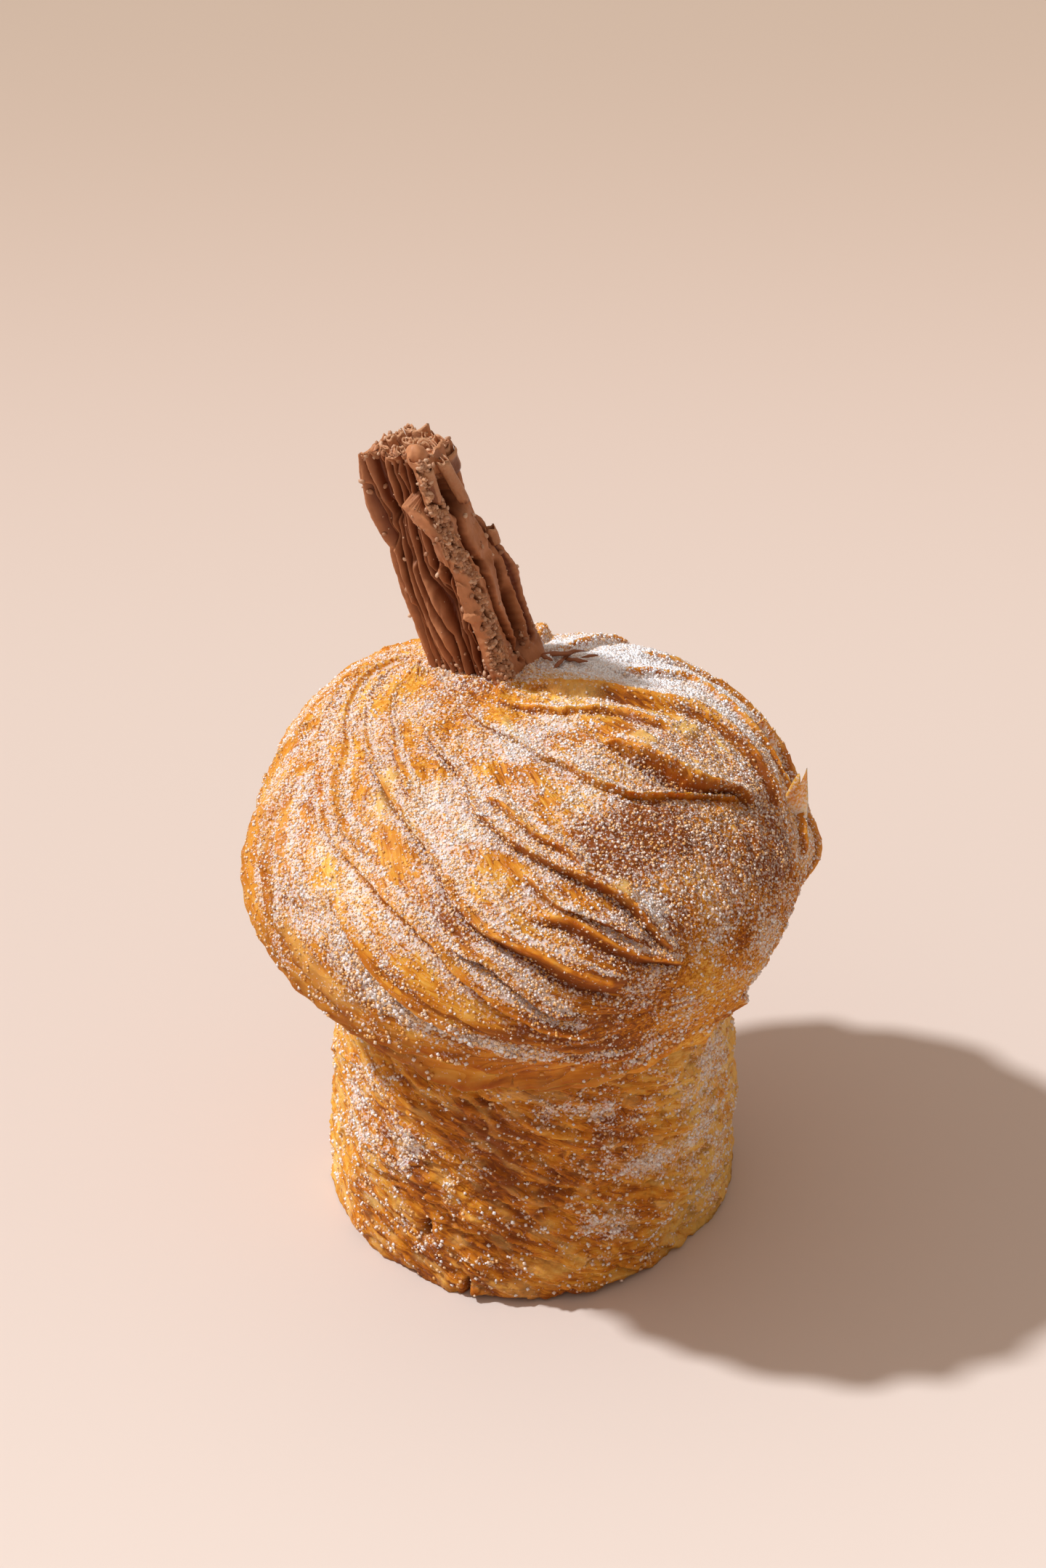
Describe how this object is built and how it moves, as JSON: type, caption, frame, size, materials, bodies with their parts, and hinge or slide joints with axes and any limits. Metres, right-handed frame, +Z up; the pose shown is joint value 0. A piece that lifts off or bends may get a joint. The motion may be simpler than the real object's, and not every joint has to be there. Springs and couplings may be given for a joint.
{
  "type": "cruffin with a chocolate stick",
  "caption": "Muffin-shaped laminated pastry with a swirled domed cap on a drum-shaped base, dusted with sugar, and a leaning stick of flaked chocolate set in its crown.",
  "frame": {"origin": "centre of the flat foot that the pastry stands on", "axes": "+Z up, from the foot to the top of the chocolate stick; -Y the front, which the picture shows; the stick leans towards -X"},
  "size_m": [0.0879, 0.0896, 0.1286],
  "materials": {
    "crust": "baked laminated dough, golden brown with darker edges, dusted with caster sugar",
    "chocolate": "milk chocolate, pleated and flaky, dull with a faint waxy sheen"
  },
  "bodies": {
    "root": {"pastry": "crust", "chocolate_stick": "chocolate"}
  },
  "joints": []
}
